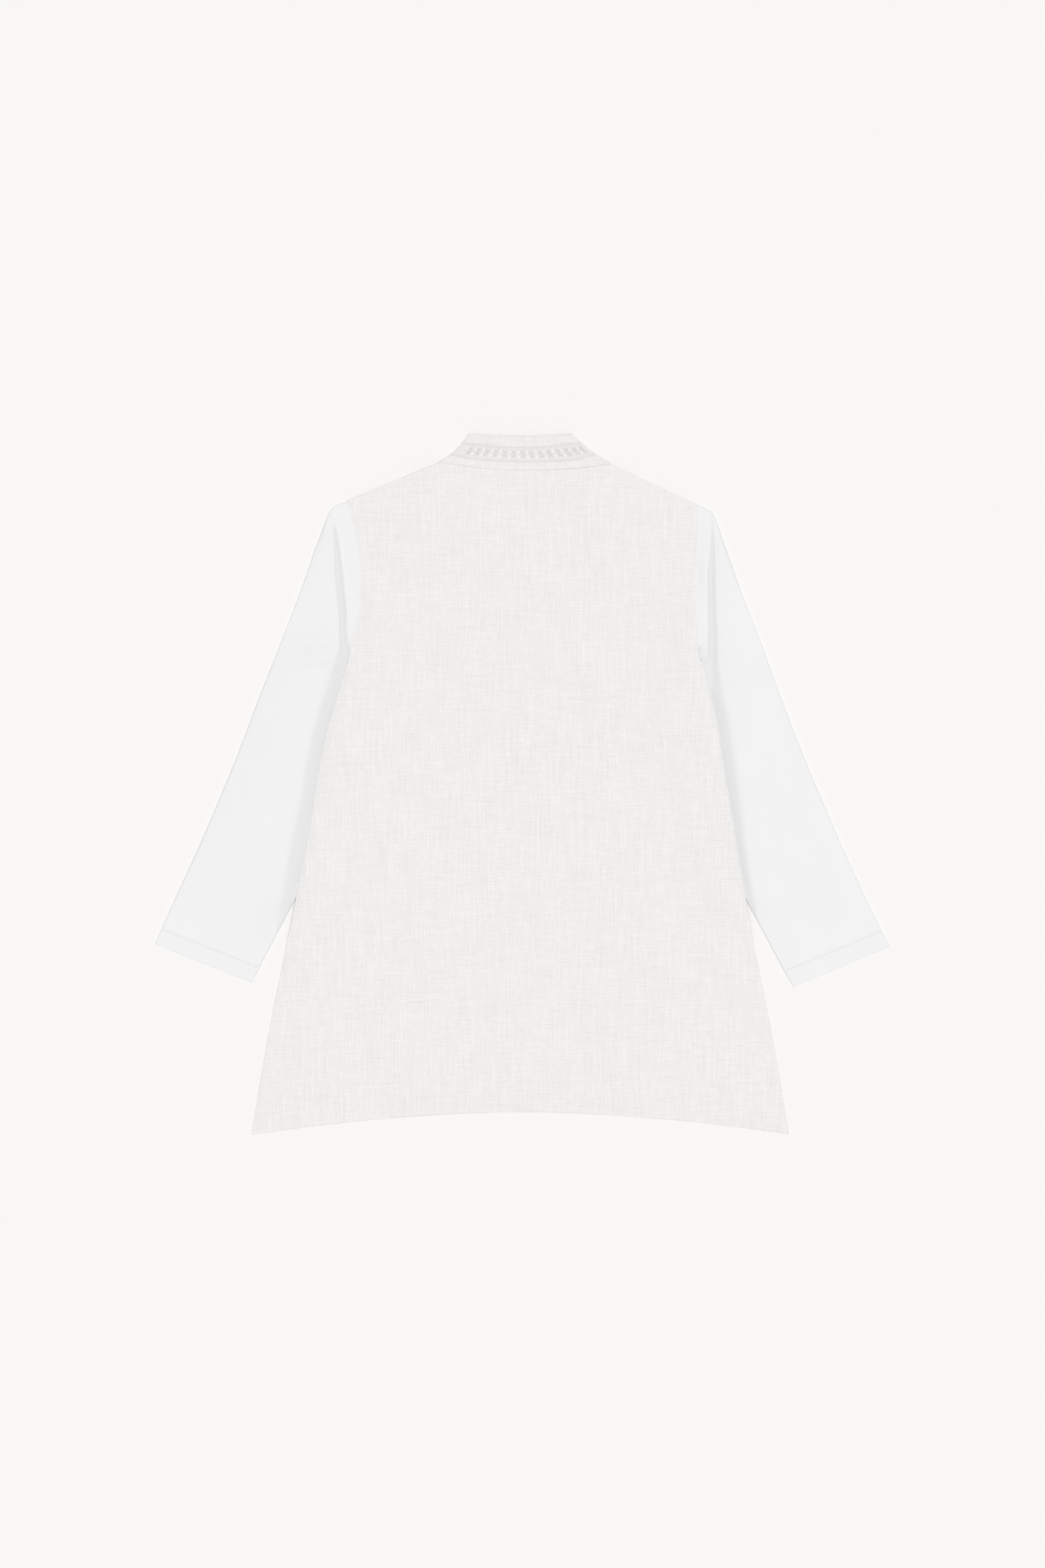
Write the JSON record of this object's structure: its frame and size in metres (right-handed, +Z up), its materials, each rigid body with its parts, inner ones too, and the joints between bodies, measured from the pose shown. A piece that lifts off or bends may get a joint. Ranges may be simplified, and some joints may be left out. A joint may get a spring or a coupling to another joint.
{
  "type": "embroidered shirt laid flat",
  "caption": "A-line tunic shirt in slubbed linen with smooth jersey sleeves and an embroidered stand collar, laid flat with its back side up.",
  "frame": {"origin": "middle of the garment's bounding box, on the surface it lies on", "axes": "+X across the shirt to the viewer's right as it lies, +Y from hem to collar, +Z up out of the surface, towards the side that shows"},
  "size_m": [0.844, 0.8051, 0.0092],
  "materials": {
    "linen": "matte ivory linen with fine slubs both ways",
    "jersey": "smooth matte white jersey",
    "embroidery": "white and grey-beige satin-stitched trim"
  },
  "bodies": {
    "root": {"back_panel": "linen", "front_panel": "linen", "collar": "linen", "collar_band": "embroidery", "sleeve_left": "jersey", "sleeve_right": "jersey"}
  },
  "joints": []
}
